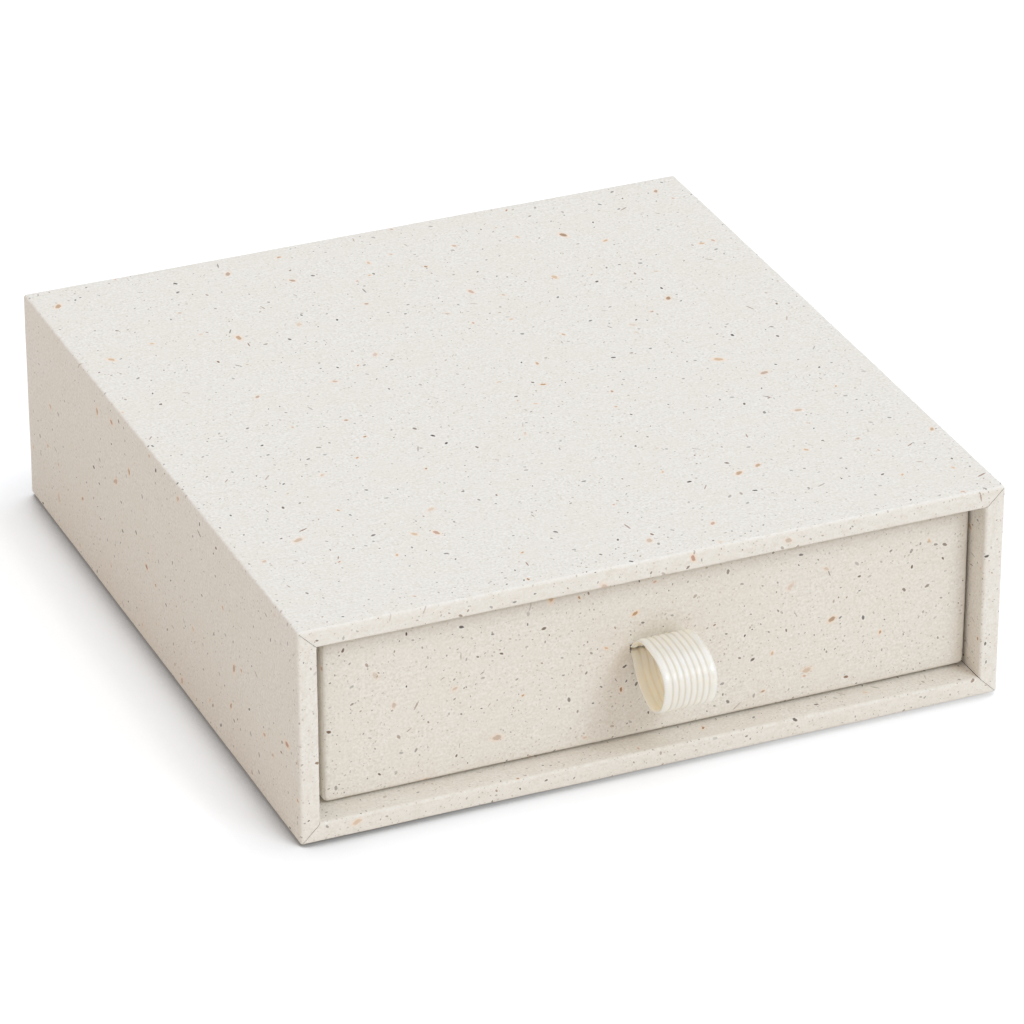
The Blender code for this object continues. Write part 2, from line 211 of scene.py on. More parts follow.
Casing = namedtuple("Casing", "width span length wall rounding rim turn_in cut lips place")
Fleck = namedtuple("Fleck", "cell long wide presence spread ragged strength glow glow_colour palette")


def srgb(red, green, blue):
    """A colour picked as 0 to 255 screen values, as the linear colour that the shader takes."""
    def linear(value):
        share = value / 255
        return share / 12.92 if share <= 0.04045 else ((share + 0.055) / 1.055) ** 2.4
    return (linear(red), linear(green), linear(blue), 1.0)


def grey(level):
    return (level, level, level, 1.0)


PAPER_COLOUR = srgb(231, 225, 214)
PAPER_LIGHT = srgb(239, 234, 225)
PAPER_DARK = srgb(222, 215, 202)
PAPER_WARM = srgb(229, 220, 205)
# Lighter colour of the folds and rims: worn paper, and a painted highlight where light catches the folds
FOLD_WEAR_AND_HIGHLIGHT = srgb(239, 235, 226)
RAW_PAPER = srgb(236, 231, 221)
RAW_PAPER_DARK = srgb(226, 221, 212)
LINING_COLOUR = srgb(235, 231, 222)
LINING_DARK = srgb(225, 222, 214)
BOARD_COLOUR = srgb(158, 152, 143)
BOARD_SHADE = srgb(142, 137, 130)
BOARD_PALE = srgb(196, 190, 178)
BOARD_DARK = srgb(96, 92, 88)
TAPE_COLOUR = srgb(190, 152, 108)
TAPE_DARK = srgb(158, 120, 80)
RIBBON_COLOUR = srgb(251, 244, 228)
# Darker tone for the threads' pattern and for streaks that paint the satin's sheen
RIBBON_THREADS_AND_SHEEN = srgb(243, 233, 210)
# Painted shade in the grooves between the ribs
RIBBON_GROOVE_SHADE = srgb(220, 210, 189)
# The inner face's colours, warmer and paler than the outer's: a painted glow of light through the satin and
# inside the loop
RIBBON_INSIDE_PAINTED_GLOW = srgb(255, 240, 216)
RIBBON_INSIDE_GLOW_THREADS_AND_SHEEN = srgb(252, 231, 200)
RIBBON_INSIDE_GLOW_GROOVE_SHADE = srgb(247, 223, 188)
RIBBON_GLOW = (0.0030, 0.0023, 0.0016)
RING_COLOUR = srgb(242, 238, 230)
PEACH = srgb(243, 219, 194)

# Flecks in the pulp, from the faintest and most common to the rarest. A fleck's cell is the space that it
# has to itself, its presence the share of cells that hold one, and its spread the angle in radians over
# which flecks are turned.
ANY_WAY = 6.3
PALE_DOTS = Fleck(
    cell=0.0011, long=0.00014, wide=0.00009, presence=0.40, spread=ANY_WAY, ragged=0.00005,
    strength=0.55, glow=0.0, glow_colour=RING_COLOUR,
    palette=((0.0, srgb(250, 247, 241)), (0.5, srgb(247, 242, 232)), (0.8, srgb(252, 249, 244))),
)
DOTS = Fleck(
    cell=0.0009, long=0.00012, wide=0.00008, presence=0.58, spread=ANY_WAY, ragged=0.00005,
    strength=0.62, glow=0.0, glow_colour=RING_COLOUR,
    palette=((0.0, srgb(176, 166, 152)), (0.5, srgb(158, 147, 133)), (0.8, srgb(184, 166, 144))),
)
SPECKS = Fleck(
    cell=0.0018, long=0.00017, wide=0.00010, presence=0.44, spread=ANY_WAY, ragged=0.00008,
    strength=0.90, glow=0.45, glow_colour=RING_COLOUR,
    palette=(
        (0.0, srgb(148, 131, 112)), (0.3, srgb(120, 105, 87)),
        (0.6, srgb(168, 143, 115)), (0.85, srgb(132, 105, 80)),
    ),
)
DARK_SPECKS = Fleck(
    cell=0.0034, long=0.00027, wide=0.00015, presence=0.72, spread=ANY_WAY, ragged=0.00012,
    strength=1.0, glow=0.55, glow_colour=RING_COLOUR,
    palette=(
        (0.0, srgb(90, 76, 62)), (0.35, srgb(116, 94, 72)),
        (0.60, srgb(66, 55, 46)), (0.85, srgb(138, 104, 72)),
    ),
)
FIBRES = Fleck(
    cell=0.0062, long=0.00060, wide=0.00010, presence=0.40, spread=2.4, ragged=0.00012,
    strength=0.90, glow=0.35, glow_colour=RING_COLOUR,
    palette=((0.0, srgb(130, 114, 98)), (0.40, srgb(168, 144, 120)), (0.72, srgb(146, 108, 82))),
)
CHIPS = Fleck(
    cell=0.0076, long=0.00050, wide=0.00028, presence=0.50, spread=ANY_WAY, ragged=0.00024,
    strength=0.95, glow=0.70, glow_colour=PEACH,
    palette=(
        (0.0, srgb(184, 146, 108)), (0.30, srgb(208, 174, 136)),
        (0.52, srgb(158, 120, 88)), (0.76, srgb(192, 154, 134)),
    ),
)
FLECKS = (PALE_DOTS, DOTS, SPECKS, DARK_SPECKS, FIBRES, CHIPS)

# Finishes of the CAD nodes that have one of their own
FINISHES = {
    "sleeve_back_sheet": "back_paper",
    "sleeve_base_sheet": "base_paper",
    "sleeve_wrap": "sleeve_paper",
    "drawer_wrap": "sleeve_paper",
    "ribbon_pull": "ribbon_outside",
}


def add(name, data):
    """An object in the scene with this mesh, lamp or camera."""
    made = bpy.data.objects.new(name, data)
    bpy.context.scene.collection.objects.link(made)
    return made


def new_tree(name):
    """An empty material's node tree with its shader and output."""
    made = bpy.data.materials.new(name)
    made.use_nodes = True
    tree = made.node_tree
    tree.nodes.clear()
    output = tree.nodes.new("ShaderNodeOutputMaterial")
    shader = tree.nodes.new("ShaderNodeBsdfPrincipled")
    tree.links.new(shader.outputs["BSDF"], output.inputs["Surface"])
    return made, tree, shader


def put(tree, socket, value):
    """Links value to a socket if it is one itself, or else writes it there."""
    if isinstance(value, bpy.types.NodeSocket):
        tree.links.new(value, socket)
    else:
        socket.default_value = value


def node(tree, kind, inputs=(), **settings):
    """A new node with these inputs, each a value or a socket, and these settings."""
    made = tree.nodes.new(kind)
    for name, value in settings.items():
        setattr(made, name, value)
    for name, value in dict(inputs).items():
        put(tree, made.inputs[name], value)
    return made


def maths(tree, operation, first, second=0.0, third=0.0):
    made = node(tree, "ShaderNodeMath", {0: first, 1: second, 2: third}, operation=operation)
    return made.outputs[0]


def vector(tree, operation, first, second=(0.0, 0.0, 0.0), scale=1.0):
    """A sum on vectors. Its inputs go by number, because some share a name: 3 is the scale."""
    made = node(tree, "ShaderNodeVectorMath", {0: first, 1: second, 3: scale}, operation=operation)
    return made.outputs["Value"] if operation == "LENGTH" else made.outputs["Vector"]


def mixed(tree, share, first, second):
    """Two colours mixed by a share. Inputs 6 and 7 and output 2 are the colour ones."""
    made = node(tree, "ShaderNodeMix", {0: share, 6: first, 7: second}, data_type="RGBA")
    return made.outputs[2]


def ranged(tree, value, low, high, to_low=0.0, to_high=1.0):
    """A value's smooth step from one range to another."""
    inputs = {"Value": value, "From Min": low, "From Max": high, "To Min": to_low, "To Max": to_high}
    return node(tree, "ShaderNodeMapRange", inputs, interpolation_type="SMOOTHSTEP").outputs["Result"]


def cloud(tree, place, size, detail=2.0, stretch=(1.0, 1.0, 1.0)):
    """Noise whose blotches are about size across, as a value about 0.5."""
    scaled = vector(tree, "MULTIPLY", place, tuple(part / size for part in stretch))
    inputs = {"Vector": scaled, "Scale": 1.0, "Detail": detail}
    return node(tree, "ShaderNodeTexNoise", inputs).outputs["Fac"]


def palette(tree, value, stops, interpolation="CONSTANT"):
    """The colour that a value picks from stops, each a place from 0 to 1 and a colour."""
    ramp = node(tree, "ShaderNodeValToRGB", {"Fac": value})
    ramp.color_ramp.interpolation = interpolation
    marks = ramp.color_ramp.elements
    while len(marks) < len(stops):
        marks.new(0.5)
    for mark, (place, colour) in zip(marks, stops):
        mark.position = place
        mark.color = colour
    return ramp.outputs["Color"]


def give_relief(tree, shader, height, strength, depth):
    """Gives a shader a fine relief, as deep as depth where height goes from 0 to 1."""
    bump = node(tree, "ShaderNodeBump", {"Height": height, "Strength": strength, "Distance": depth})
    put(tree, shader.inputs["Normal"], bump.outputs["Normal"])


def sheet_place(tree):
    """The place on the flat sheet or strap."""
    return node(tree, "ShaderNodeUVMap", uv_map=SHEET_UV).outputs["UV"]


def object_place(tree):
    return node(tree, "ShaderNodeTexCoord").outputs["Object"]


def upright_place(tree):
    """The place on a sheet that stands across the object, from its x and z."""
    parts = node(tree, "ShaderNodeSeparateXYZ", {"Vector": object_place(tree)}).outputs
    return node(tree, "ShaderNodeCombineXYZ", {"X": parts["X"], "Y": parts["Z"]}).outputs["Vector"]


def flecks(tree, sheet, kind, shift, density):
    """One layer of scattered flecks: their cover of the sheet, the glow round them, and their colour.

    The sheet is parted into cells, and each cell's own chances say whether it holds a fleck, how the fleck
    lies, how big and how strong it is, and its colour. The flecks come in loose clumps.
    """
    moved = vector(tree, "ADD", sheet, (shift, shift / 3, 0.0))
    scaled = vector(tree, "SCALE", moved, scale=1 / kind.cell)
    cells = node(
        tree, "ShaderNodeTexVoronoi", {"Vector": scaled, "Scale": 1.0, "Randomness": 1.0},
        voronoi_dimensions="2D", feature="F1",
    ).outputs
    chance = node(tree, "ShaderNodeSeparateColor", {"Color": cells["Color"]}).outputs
    again = node(
        tree, "ShaderNodeTexWhiteNoise", {"Vector": cells["Position"]}, noise_dimensions="2D"
    ).outputs["Color"]
    more = node(tree, "ShaderNodeSeparateColor", {"Color": again}).outputs
    offset = vector(tree, "SCALE", vector(tree, "SUBTRACT", scaled, cells["Position"]), scale=kind.cell)
    wobble_place = vector(tree, "SCALE", moved, scale=1 / (2.2 * kind.wide))
    wobble = node(tree, "ShaderNodeTexNoise", {"Vector": wobble_place, "Scale": 1.0, "Detail": 2.0})
    wobble = vector(tree, "SUBTRACT", wobble.outputs["Color"], (0.5, 0.5, 0.5))
    offset = vector(tree, "ADD", offset, vector(tree, "SCALE", wobble, scale=2 * kind.ragged))
    angle = maths(tree, "MULTIPLY", maths(tree, "SUBTRACT", chance[0], 0.5), kind.spread)
    turned = node(
        tree, "ShaderNodeVectorRotate", {"Vector": offset, "Angle": angle}, rotation_type="Z_AXIS"
    ).outputs["Vector"]
    bigger = maths(tree, "POWER", chance[1], 2.0)
    size = maths(tree, "MULTIPLY_ADD", bigger, FLECK_SIZE_SPAN, SMALLEST_FLECK)
    shape = vector(tree, "DIVIDE", turned, (kind.wide, kind.long, 1.0))
    flat = vector(tree, "MULTIPLY", shape, (1.0, 1.0, 0.0))
    reach = maths(tree, "DIVIDE", vector(tree, "LENGTH", flat), size)
    clumps = ranged(tree, cloud(tree, cells["Position"], CLUMP_CELLS), 0.36, 0.64, CLUMP_THIN, CLUMP_THICK)
    limit = maths(tree, "MULTIPLY", maths(tree, "MULTIPLY", clumps, density), kind.presence)
    shown = maths(tree, "LESS_THAN", chance[2], limit)
    strength = maths(tree, "MULTIPLY_ADD", more[0], 1 - FAINTEST_FLECK, FAINTEST_FLECK)
    strength = maths(tree, "MULTIPLY", strength, shown)
    core = maths(tree, "MULTIPLY", ranged(tree, reach, 1.25, 0.75, 0.0, kind.strength), strength)
    around = None
    if kind.glow:
        around = maths(tree, "MULTIPLY", ranged(tree, reach, 2.4, 1.1, 0.0, kind.glow), strength)
    return core, around, palette(tree, more[1], kind.palette)


def even(tree):
    """The flecks' density where it is the same all over."""
    return 1.0


def thicker_at_mouth(tree):
    """The flecks' density on the sleeve's sheet: thin on its broad sides, full round the mouth."""
    run = node(tree, "ShaderNodeSeparateXYZ", {"Vector": sheet_place(tree)}).outputs["Y"]
    low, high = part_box("sleeve_wrap")
    size = high - low
    return ranged(tree, run, size.y + FULL_FLECKS_FROM, size.y + FULL_FLECKS_AT, THIN_FLECKS, 1.0)


def speckled_paper(name, place_on_sheet, shift, fleck_density):
    """Matte paper with a fine pulp grain, faint mottling, folds lightened as worn paper and as a painted
    highlight, and six kinds of fleck.
    """
    made, tree, shader = new_tree(name)
    sheet = vector(tree, "ADD", place_on_sheet(tree), (shift, shift, 0.0))
    density = fleck_density(tree)
    mottle = cloud(tree, sheet, MOTTLE_SIZE)
    tint = cloud(tree, sheet, TINT_SIZE, 1.0)
    fibre = cloud(tree, sheet, FIBRE_SIZE, 3.0, (0.6, 1.0, 1.0))
    grain = cloud(tree, sheet, GRAIN_SIZE, 1.0)
    pulp = maths(tree, "MULTIPLY_ADD", grain, 0.70, maths(tree, "MULTIPLY", fibre, 0.30))
    colour = mixed(tree, ranged(tree, pulp, 0.28, 0.72), PAPER_DARK, PAPER_LIGHT)
    colour = mixed(tree, ranged(tree, mottle, 0.35, 0.68, 0.0, 0.25), colour, PAPER_WARM)
    colour = mixed(tree, ranged(tree, tint, 0.40, 0.70, 0.0, 0.35), colour, PAPER_COLOUR)
    # Folds, rims and the roundings along the edges are lightened: partly worn paper, partly a painted
    # highlight
    fold = node(tree, "ShaderNodeAttribute", attribute_name=FOLD_MARK).outputs["Fac"]
    worn_and_highlit = maths(tree, "MULTIPLY", fold, ranged(tree, fibre, 0.25, 0.65, 0.05, 0.45))
    colour = mixed(tree, worn_and_highlit, colour, FOLD_WEAR_AND_HIGHLIGHT)
    height = maths(tree, "ADD", maths(tree, "MULTIPLY", fibre, 0.7), maths(tree, "MULTIPLY", grain, 0.6))
    for index, kind in enumerate(FLECKS):
        core, around, tone = flecks(tree, sheet, kind, LAYER_SHIFT * (index + 1), density)
        if around:
            colour = mixed(tree, around, colour, kind.glow_colour)
        colour = mixed(tree, core, colour, tone)
        height = maths(tree, "MULTIPLY_ADD", core, -0.25, height)
    put(tree, shader.inputs["Base Color"], colour)
    put(tree, shader.inputs["Roughness"], ranged(tree, fibre, 0.3, 0.7, 0.62, 0.74))
    give_relief(tree, shader, height, 0.5, PAPER_RELIEF)
    shader.inputs["Specular IOR Level"].default_value = 0.28
    return made


def plain_paper(name, colour, darker, grain_size, roughness):
    """Uncoated paper: cloudy pulp with short fibres."""
    made, tree, shader = new_tree(name)
    place = object_place(tree)
    pulp = cloud(tree, place, PULP_SIZE)
    fibre = cloud(tree, place, grain_size, 4.0)
    share = maths(tree, "MULTIPLY_ADD", fibre, 0.6, maths(tree, "MULTIPLY", pulp, 0.4))
    put(tree, shader.inputs["Base Color"], mixed(tree, ranged(tree, share, 0.38, 0.66), colour, darker))
    put(tree, shader.inputs["Roughness"], ranged(tree, fibre, 0.3, 0.7, roughness - 0.05, roughness + 0.05))
    give_relief(tree, shader, fibre, 0.5, PLAIN_RELIEF)
    shader.inputs["Specular IOR Level"].default_value = 0.25
    return made


def greyboard():
    """Pressed waste-paper board: grey, with pale and dark fibres."""
    made, tree, shader = new_tree("greyboard")
    place = object_place(tree)
    pulp = cloud(tree, place, BOARD_PULP, 3.0)
    pale = cloud(tree, place, BOARD_PALE_FIBRE, 2.0, (1.0, 0.4, 1.0))
    dark = cloud(tree, place, BOARD_DARK_FIBRE, 2.0, (0.4, 1.0, 1.0))
    colour = mixed(tree, ranged(tree, pulp, 0.3, 0.7), BOARD_COLOUR, BOARD_SHADE)
    colour = mixed(tree, ranged(tree, pale, 0.62, 0.75, 0.0, 0.6), colour, BOARD_PALE)
    colour = mixed(tree, ranged(tree, dark, 0.64, 0.76, 0.0, 0.7), colour, BOARD_DARK)
    put(tree, shader.inputs["Base Color"], colour)
    give_relief(tree, shader, pale, 0.6, BOARD_RELIEF)
    shader.inputs["Roughness"].default_value = 0.93
    return made


def kraft_tape():
    """Gummed brown paper tape with long fibres."""
    made, tree, shader = new_tree("kraft_tape")
    place = object_place(tree)
    fibre = cloud(tree, place, TAPE_FIBRE, 4.0, (1.0, 0.25, 1.0))
    colour = mixed(tree, ranged(tree, fibre, 0.32, 0.70), TAPE_COLOUR, TAPE_DARK)
    put(tree, shader.inputs["Base Color"], colour)
    give_relief(tree, shader, fibre, 0.4, TAPE_RELIEF)
    shader.inputs["Roughness"].default_value = 0.72
    return made


def satin(name, colour, darker, groove, roughness):
    """Ribbed satin: grooves darkened by painted shade, darker streaks that paint its sheen, and fine
    threads across the strap, stronger on the two selvedges.

    The ribs are counted from the strap's middle, where an even number of ribs leaves a groove.
    """
    made, tree, shader = new_tree(name)
    place = node(tree, "ShaderNodeSeparateXYZ", {"Vector": sheet_place(tree)}).outputs
    selvedge = RIBBON_WIDTH * SELVEDGE_SHARE / (RIB_COUNT + 2 * SELVEDGE_SHARE)
    aside = maths(tree, "ABSOLUTE", place["X"])
    rib = (RIBBON_WIDTH - 2 * selvedge) / RIB_COUNT
    phase = maths(tree, "COSINE", maths(tree, "MULTIPLY", place["X"], 2 * math.pi / rib))
    # The grooves' darker colour is painted shade in the hollows between the ribs
    painted_groove_shade = phase if RIB_COUNT % 2 == 0 else maths(tree, "MULTIPLY", phase, -1.0)
    painted_groove_shade = ranged(tree, painted_groove_shade, 0.1, 1.0, 0.0, 0.7)
    outer = ranged(tree, aside, RIBBON_WIDTH / 2 - selvedge * 0.85, RIBBON_WIDTH / 2 - selvedge * 0.6)
    painted_groove_shade = maths(tree, "MULTIPLY", painted_groove_shade, maths(tree, "SUBTRACT", 1.0, outer))
    edge = ranged(tree, aside, RIBBON_WIDTH / 2 - selvedge * 1.1, RIBBON_WIDTH / 2 - selvedge * 0.9)
    wander = cloud(tree, sheet_place(tree), WANDER_LENGTH)
    run = maths(tree, "MULTIPLY_ADD", wander, THREAD_WANDER, place["Y"])
    threads = maths(tree, "SINE", maths(tree, "MULTIPLY", run, 2 * math.pi / THREAD_SPACING))
    fine = maths(tree, "SINE", maths(tree, "MULTIPLY", run, 4 * math.pi / THREAD_SPACING))
    weave = maths(tree, "MULTIPLY", threads, maths(tree, "MULTIPLY_ADD", edge, 0.8, 0.2))
    height = maths(tree, "MULTIPLY_ADD", fine, 0.25, weave)
    sheen = cloud(tree, sheet_place(tree), SHEEN_SIZE, 2.0, (1.0, 0.35, 1.0))
    # Darker streaks from the sheen's noise paint the satin's sheen into its colour; the weave's share is
    # the threads' pattern
    share = maths(tree, "MULTIPLY_ADD", weave, 0.16, ranged(tree, sheen, 0.3, 0.7, 0.15, 0.45))
    body = mixed(tree, share, colour, darker)
    # Mixes in the groove colour, which is painted shade
    put(tree, shader.inputs["Base Color"], mixed(tree, painted_groove_shade, body, groove))
    put(tree, shader.inputs["Roughness"], ranged(tree, sheen, 0.3, 0.7, roughness - 0.01, roughness + 0.02))
    give_relief(tree, shader, height, 0.15, SATIN_RELIEF)
    shader.inputs["Specular IOR Level"].default_value = 0.9
    shader.inputs["Subsurface Weight"].default_value = 0.75
    shader.inputs["Subsurface Radius"].default_value = RIBBON_GLOW
    shader.inputs["Subsurface Scale"].default_value = 1.0
    return made


def sleeve_casing():
    """The sleeve's sizes and its place. Its own frame has the closed end at z = 0.

    Its lips say, wall by wall, at which of the wall's two corners the turn-in laps over its neighbour's.
    """
    low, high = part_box("sleeve_wrap")
    size = high - low
    wall = wall_under(size.x, "sleeve_wall_lining")
    lying = Matrix.Rotation(math.radians(90), 4, "X")
    place = Matrix.Translation((0, high.y, (low.z + high.z) / 2)) @ lying
    rim = min(SLEEVE_ROUNDING, RIM_LIMIT_SHARE * wall)
    lips = {0: (False, True), 90: (False, False), 180: (True, False), 270: (True, True)}
    return Casing(
        width=size.x, span=size.z, length=size.y, wall=wall, rounding=SLEEVE_ROUNDING, rim=rim,
        turn_in=SLEEVE_TURN_IN, cut=SLEEVE_CUT, lips=lips, place=place,
    )


def drawer_casing():
    """The drawer's sizes and its place. It stands on its closed end, and its cuts have no lapped lip."""
    low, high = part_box("drawer_wrap")
    size = high - low
    wall = wall_under(size.x, "drawer_wall_lining")
    place = Matrix.Translation(((low.x + high.x) / 2, (low.y + high.y) / 2, low.z))
    rim = min(DRAWER_ROUNDING, RIM_LIMIT_SHARE * wall)
    lips = dict.fromkeys(WALL_TURNS, (False, False))
    return Casing(
        width=size.x, span=size.y, length=size.z, wall=wall, rounding=DRAWER_ROUNDING, rim=rim,
        turn_in=DRAWER_TURN_IN, cut=DRAWER_CUT, lips=lips, place=place,
    )


def wall_under(width, lining):
    """A finished wall's thickness, from the outside's width and the lining's outer face."""
    low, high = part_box(lining)
    return (width - (high.x - low.x)) / 2 + PAPER


def half_sizes(casing, turn):
    """How far a wall lies from the casing's axis, and half its width."""
    if turn % 180 == 0:
        return casing.width / 2, casing.span / 2
    return casing.span / 2, casing.width / 2


def arc(centre, radius, start, end, steps):
    """Points on an arc, between two angles in degrees."""
    angles = [math.radians(start + (end - start) * step / steps) for step in range(steps + 1)]
    return [(centre[0] + radius * math.cos(a), centre[1] + radius * math.sin(a)) for a in angles]


def turned(x, y, degrees):
    sine = math.sin(math.radians(degrees))
    cosine = math.cos(math.radians(degrees))
    return x * cosine - y * sine, x * sine + y * cosine


def levels(start, end, marks=()):
    """Levels from start to end about a grid spacing apart, with one at each mark between them."""
    stops = [start] + sorted(marks, reverse=end < start) + [end]
    made = [start]
    for here, there in zip(stops, stops[1:]):
        spans = max(1, round(abs(there - here) / GRID_SPACING))
        made += [here + (there - here) * step / spans for step in range(1, spans + 1)]
    return made


def side_profile(casing, marks=()):
    """The wrap's outer face down one side as (inset, z), from the turn-in's end to the far fold."""
    mouth = casing.length
    rim = casing.rim
    profile = [(casing.wall, z) for z in levels(mouth - casing.turn_in, mouth - rim)]
    profile += arc((casing.wall - rim, mouth - rim), rim, 0, 90, ARC_STEPS)[1:]
    profile += arc((rim, mouth - rim), rim, 90, 180, ARC_STEPS)
    fold = casing.rounding
    profile += [(0.0, z) for z in levels(mouth - rim, fold, marks)][1:]
    return profile + arc((fold, fold), fold, 180, 270, ARC_STEPS)[1:]


def corner_point(rounding, half_out, half_across, inset, share, gap):
    """A point near a corner as (out, across, length along the sheet), with share 0 on the diagonal."""
    radius = max(rounding - inset, 0.0)
    bend = radius * math.pi / 4
    travel = gap + (bend + rounding - radius - gap) * share
    out = half_out - inset
    across = half_across - inset - radius
    if travel >= bend:
        across -= travel - bend
        return out, across, across
    angle = math.pi / 4 - travel / radius
    x = out - radius + radius * math.cos(angle)
    return x, across + radius * math.sin(angle), across + radius * angle


def cross_section(casing, turn, inset, parted, marks):
    """One wall's row of points from diagonal to diagonal, as (out, across, length along the sheet)."""
    half_out, half_across = half_sizes(casing, turn)
    gap = casing.cut / math.sqrt(2) if parted else 0.0
    shares = [step / CORNER_COLUMNS for step in range(CORNER_COLUMNS + 1)]
    end = [corner_point(casing.rounding, half_out, half_across, inset, share, gap) for share in shares]
    start = [(out, -across, -length) for out, across, length in end]
    edge = half_across - casing.rounding
    shrink = (edge - inset) / edge
    middle = [(half_out - inset, across * shrink, across * shrink) for across in levels(-edge, edge, marks)]
    return start + middle[1:-1] + end[::-1]


def run_lengths(profile):
    """The length along the sheet at each row, from 0 at the closed end's last row."""
    lengths = [0.0]
    for here, there in zip(profile[::-1], profile[-2::-1]):
        lengths.append(lengths[-1] + math.dist(here, there))
    return lengths[::-1]


def flat_half(casing, turn):
    """Half a wall's width on the flat sheet, corner to corner."""
    return half_sizes(casing, turn)[1] - casing.rounding + casing.rounding * math.pi / 4


def tube_places(casing):
    """Where a wall's point lies on a sheet that goes round the casing like a tube."""
    starts = {}
    reached = 0.0
    for turn in WALL_TURNS:
        half = flat_half(casing, turn)
        starts[turn] = reached + half
        reached += 2 * half

    def place(turn, length, run):
        return starts[turn] + length, run
    return place


def cross_places(casing):
    """Where a wall's point lies on a cross-shaped sheet with the closed end in its middle."""
    def place(turn, length, run):
        return turned(half_sizes(casing, turn)[0] - casing.rounding + run, length, turn)
    return place


def wall_faces(made, casing, turn, profile, parted, marks, hole, flat_place):
    """Adds one wall of a wrap: its turn-in, rim, outside and fold, as far as the profile goes."""
    uv = made.loops.layers.uv[SHEET_UV]
    fold = made.verts.layers.float[FOLD_MARK]
    lift = made.verts.layers.float[LIFT_MARK]
    lengths = run_lengths(profile)
    rows = []
    for (inset, z), is_parted in zip(profile, parted):
        section = cross_section(casing, turn, inset, is_parted, marks)
        at_rim = casing.length - z < casing.rim * CREASED_SHARE and inset < casing.wall
        at_fold = z < casing.rounding * CREASED_SHARE and inset < casing.rounding
        row = []
        for column, (out, across, length) in enumerate(section):
            from_corner = min(column, len(section) - 1 - column)
            is_lipped = is_parted and casing.lips[turn][column > from_corner] and z > casing.length / 2
            vertex = made.verts.new((*turned(out, across, turn), z))
            # The fold mark also lightens the paper here: partly worn folds, partly a painted highlight
            vertex[fold] = 1.0 if at_rim or at_fold or from_corner < CORNER_COLUMNS - 1 else 0.0
            vertex[lift] = LIP_HEIGHTS[from_corner] if is_lipped and from_corner < len(LIP_HEIGHTS) else 0.0
            row.append((vertex, length, out, across))
        rows.append(row)
    for row in range(len(rows) - 1):
        for column in range(len(rows[row]) - 1):
            corners = [(row, column), (row + 1, column), (row + 1, column + 1), (row, column + 1)]
            points = [(rows[i][j][3], profile[i][1]) for i, j in corners]
            if hole and profile[row][0] == 0.0 and inside(points, hole):
                continue
            face = made.faces.new([rows[i][j][0] for i, j in corners])
            face.smooth = True
            for loop, (i, j) in zip(face.loops, corners):
                loop[uv].uv = flat_place(turn, rows[i][j][1], lengths[i])
    return [point[0] for point in rows[-1]]


def inside(points, hole):
    """Whether a face's middle lies in a hole that is given by its lowest and highest corner."""
    across = sum(point[0] for point in points) / len(points)
    level = sum(point[1] for point in points) / len(points)
    return hole[0][0] < across < hole[1][0] and hole[0][1] < level < hole[1][1]


def new_sheet():
    made = bmesh.new()
    made.loops.layers.uv.new(SHEET_UV)
    made.verts.layers.float.new(FOLD_MARK)
    made.verts.layers.float.new(LIFT_MARK)
    return made


def settle(made, casing, wave):
    """Welds the walls, puts the sheet in its place and gives it the slight waves of real paper."""
    bmesh.ops.remove_doubles(made, verts=made.verts, dist=WELD_DISTANCE)
    made.transform(casing.place)
    made.normal_update()
    fold = made.verts.layers.float[FOLD_MARK]
    lift = made.verts.layers.float[LIFT_MARK]
    for vertex in made.verts:
        place = vertex.co
        rise = vertex[lift] + wave * noise.noise(place / WAVE_LENGTH)
        rise += EDGE_WAVE * vertex[fold] * noise.noise(place / EDGE_WAVE_LENGTH)
        vertex.co = place + vertex.normal * rise
    made.verts.layers.float.remove(lift)


def paper_piece(name, made, material, body, node_name):
    """Turns a sheet's outer face into a thick sheet with a plain back and edges, for its CAD node."""
    mesh = bpy.data.meshes.new(name)
    made.to_mesh(mesh)
    made.free()
    piece = add(name, mesh)
    mesh.materials.append(material)
    mesh.materials.append(bpy.data.materials["raw_paper"])
    thick = piece.modifiers.new("thickness", "SOLIDIFY")
    thick.thickness = PAPER
    thick.offset = -1
    thick.material_offset = 1
    thick.material_offset_rim = 1
    graph = bpy.context.evaluated_depsgraph_get()
    piece.data = bpy.data.meshes.new_from_object(piece.evaluated_get(graph))
    piece.modifiers.clear()
    piece.data.shade_smooth()
    piece.data.set_sharp_from_angle(angle=math.radians(SHARP_ANGLE))
    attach(piece, body)
    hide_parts(node_name)


def sleeve_wrap():
    """The sheet round the sleeve, parted at the corners of its turn-ins and of its flaps at the back."""
    casing = sleeve_casing()
    profile = side_profile(casing)
    profile += [(inset, 0.0) for inset in levels(casing.rounding, SLEEVE_FLAP)][1:]
    parted = [
        inset > MITRE_START and (z > casing.length / 2 or z < casing.rounding / 4)
        for inset, z in profile
    ]
    made = new_sheet()
    places = tube_places(casing)
    for turn in WALL_TURNS:
        wall_faces(made, casing, turn, profile, parted, (), None, places)
    settle(made, casing, SLEEVE_WAVE)
    paper_piece("sleeve_wrap_sheet", made, bpy.data.materials["sleeve_paper"], "sleeve", "sleeve_wrap")


